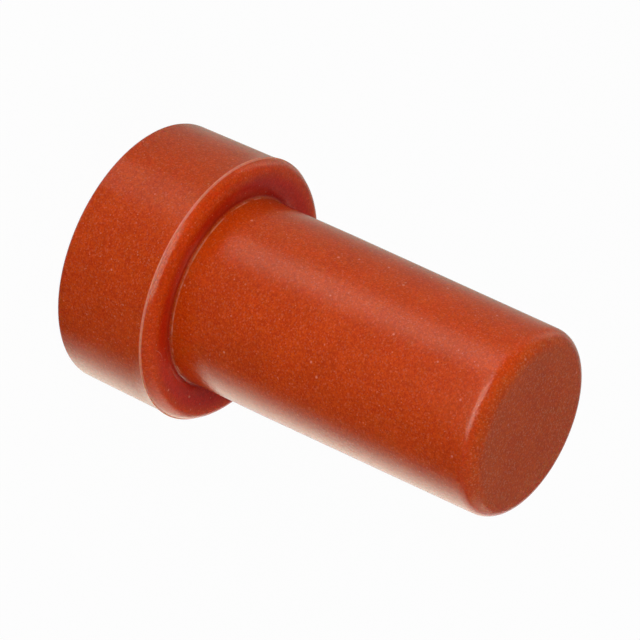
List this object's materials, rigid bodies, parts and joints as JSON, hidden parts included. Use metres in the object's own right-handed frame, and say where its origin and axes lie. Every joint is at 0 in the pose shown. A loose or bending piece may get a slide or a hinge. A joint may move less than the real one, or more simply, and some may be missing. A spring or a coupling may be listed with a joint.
{
  "type": "connector sealing plug",
  "caption": "Moulded peg with a stepped round head and a smooth shank with a rounded tip, pushed into an unused contact cavity of a connector to seal it.",
  "frame": {"origin": "centre of the head's flat back face, on the plug's axis", "axes": "+Z along the plug's axis, from the head's back face to the shank's tip; X and Y are free, since the plug is round"},
  "size_m": [0.0074, 0.0074, 0.0125],
  "materials": {
    "terracotta_plastic": "semi-matte moulded plastic, terracotta red, fine grain with scattered pale specks"
  },
  "bodies": {
    "root": {"sealing_plug": "terracotta_plastic"}
  },
  "joints": []
}
